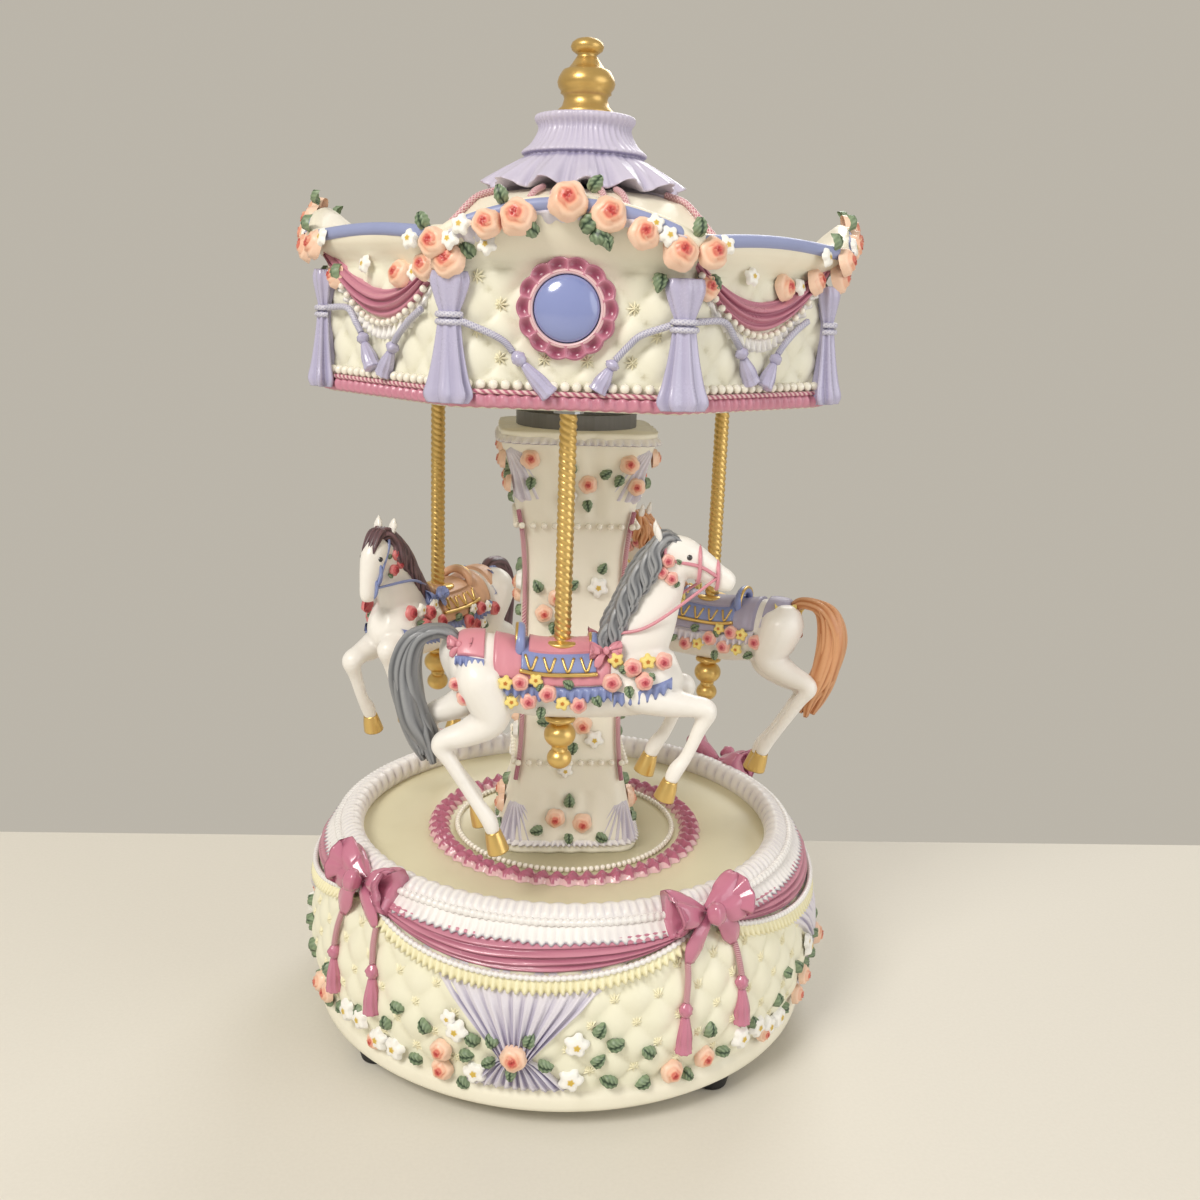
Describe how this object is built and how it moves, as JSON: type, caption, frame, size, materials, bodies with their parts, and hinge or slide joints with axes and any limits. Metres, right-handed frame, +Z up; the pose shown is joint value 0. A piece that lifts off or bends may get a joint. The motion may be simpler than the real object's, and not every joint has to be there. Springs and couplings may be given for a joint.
{
  "type": "wind-up carousel music box",
  "caption": "Wind-up music box shaped as a carousel: draped horses on twisted poles hang from a turning octagonal canopy over a round frilled base.",
  "frame": {"origin": "centre of the base in the plane its rubber feet rest on", "axes": "+Z up along the column and the canopy's axis, -Y the front where the first horse stands, +X to the right as seen from the front"},
  "size_m": [0.1666, 0.164, 0.3],
  "materials": {
    "cream_resin": "satin painted polyresin",
    "white_resin": "satin painted polyresin",
    "magenta_resin": "gloss pearl paint",
    "lavender_resin": "satin painted polyresin",
    "blue_cabochon": "high gloss blue glaze over resin",
    "gold_metal": "polished gold plate",
    "grey_plastic": "moulded",
    "black_rubber": "matte",
    "steel": "bright",
    "movement_brass": "satin",
    "horse_a_paint": "satin painted polyresin, white horse with grey mane",
    "horse_b_paint": "satin painted polyresin, white horse with peach mane",
    "horse_c_paint": "satin painted polyresin, white horse with brown mane"
  },
  "bodies": {
    "base": {"base_shell": "cream_resin", "rim_frill": "white_resin", "platform_ribbon": "magenta_resin", "platform_pearls": "white_resin", "bow_1": "magenta_resin", "bow_2": "magenta_resin", "bow_3": "magenta_resin", "bow_4": "magenta_resin", "foot_1": "black_rubber", "foot_2": "black_rubber", "foot_3": "black_rubber", "foot_4": "black_rubber", "column": "cream_resin", "bearing_disc": "grey_plastic", "bottom_cover": "grey_plastic", "movement_bedplate": "steel", "comb": "steel", "comb_bracket": "movement_brass"},
    "carousel": {"spring_barrel": "movement_brass", "drive_shaft": "steel", "canopy_hub": "movement_brass", "canopy_floor": "cream_resin", "canopy_shell": "lavender_resin", "canopy_band": "magenta_resin", "medallion_1": "blue_cabochon", "medallion_2": "blue_cabochon", "medallion_3": "blue_cabochon", "medallion_4": "blue_cabochon", "roof_cap": "lavender_resin", "finial": "gold_metal"},
    "drum": {"pinned_drum": "movement_brass"},
    "governor": {"governor_pinion": "movement_brass", "governor_fan": "steel"},
    "key": {"winding_key": "movement_brass"},
    "lifter_a": {"lifter_a": "steel"},
    "rider_a": {"pole_a": "gold_metal", "saddle_washer_a": "gold_metal", "horse_a": "horse_a_paint", "belly_washer_a": "gold_metal", "bead_a": "gold_metal", "end_bead_a": "gold_metal"},
    "lifter_b": {"lifter_b": "steel"},
    "rider_b": {"pole_b": "gold_metal", "saddle_washer_b": "gold_metal", "horse_b": "horse_b_paint", "belly_washer_b": "gold_metal", "bead_b": "gold_metal", "end_bead_b": "gold_metal"},
    "lifter_c": {"lifter_c": "steel"},
    "rider_c": {"pole_c": "gold_metal", "saddle_washer_c": "gold_metal", "horse_c": "horse_c_paint", "belly_washer_c": "gold_metal", "bead_c": "gold_metal", "end_bead_c": "gold_metal"}
  },
  "joints": [
    {"name": "carousel_spin", "type": "hinge", "parent": "base", "child": "carousel", "pos_m": [0, 0, 0.19], "axis": [0, 0, 1], "continuous": true},
    {"name": "drum_spin", "type": "hinge", "parent": "base", "child": "drum", "pos_m": [0.02835, 0, 0.03], "axis": [0, 0, 1], "continuous": true},
    {"name": "governor_spin", "type": "hinge", "parent": "base", "child": "governor", "pos_m": [-0.0252, 0, 0.03], "axis": [0, 0, 1], "continuous": true},
    {"name": "key_turn", "type": "hinge", "parent": "base", "child": "key", "pos_m": [0, 0, 0.01], "axis": [0, 0, 1], "continuous": true},
    {"name": "horse_a_rise", "type": "slide", "parent": "carousel", "child": "lifter_a", "axis": [0, 0, 1], "range_m": [-0.0065, 0]},
    {"name": "horse_a_swivel", "type": "hinge", "parent": "lifter_a", "child": "rider_a", "pos_m": [-0.00377, -0.05387, 0.2], "axis": [0, 0, 1], "range_deg": [-36, 44]},
    {"name": "horse_b_rise", "type": "slide", "parent": "carousel", "child": "lifter_b", "axis": [0, 0, 1], "range_m": [-0.00162, 0.00487]},
    {"name": "horse_b_swivel", "type": "hinge", "parent": "lifter_b", "child": "rider_b", "pos_m": [0.04854, 0.02367, 0.2], "axis": [0, 0, 1], "range_deg": [-74, 6]},
    {"name": "horse_c_rise", "type": "slide", "parent": "carousel", "child": "lifter_c", "axis": [0, 0, 1], "range_m": [-0.00162, 0.00487]},
    {"name": "horse_c_swivel", "type": "hinge", "parent": "lifter_c", "child": "rider_c", "pos_m": [-0.04477, 0.0302, 0.2], "axis": [0, 0, 1], "range_deg": [-44, 36]}
  ],
  "couplings": [
    {"joint": "drum_spin", "follows": "carousel_spin", "ratio": -2},
    {"joint": "governor_spin", "follows": "carousel_spin", "ratio": -3}
  ]
}
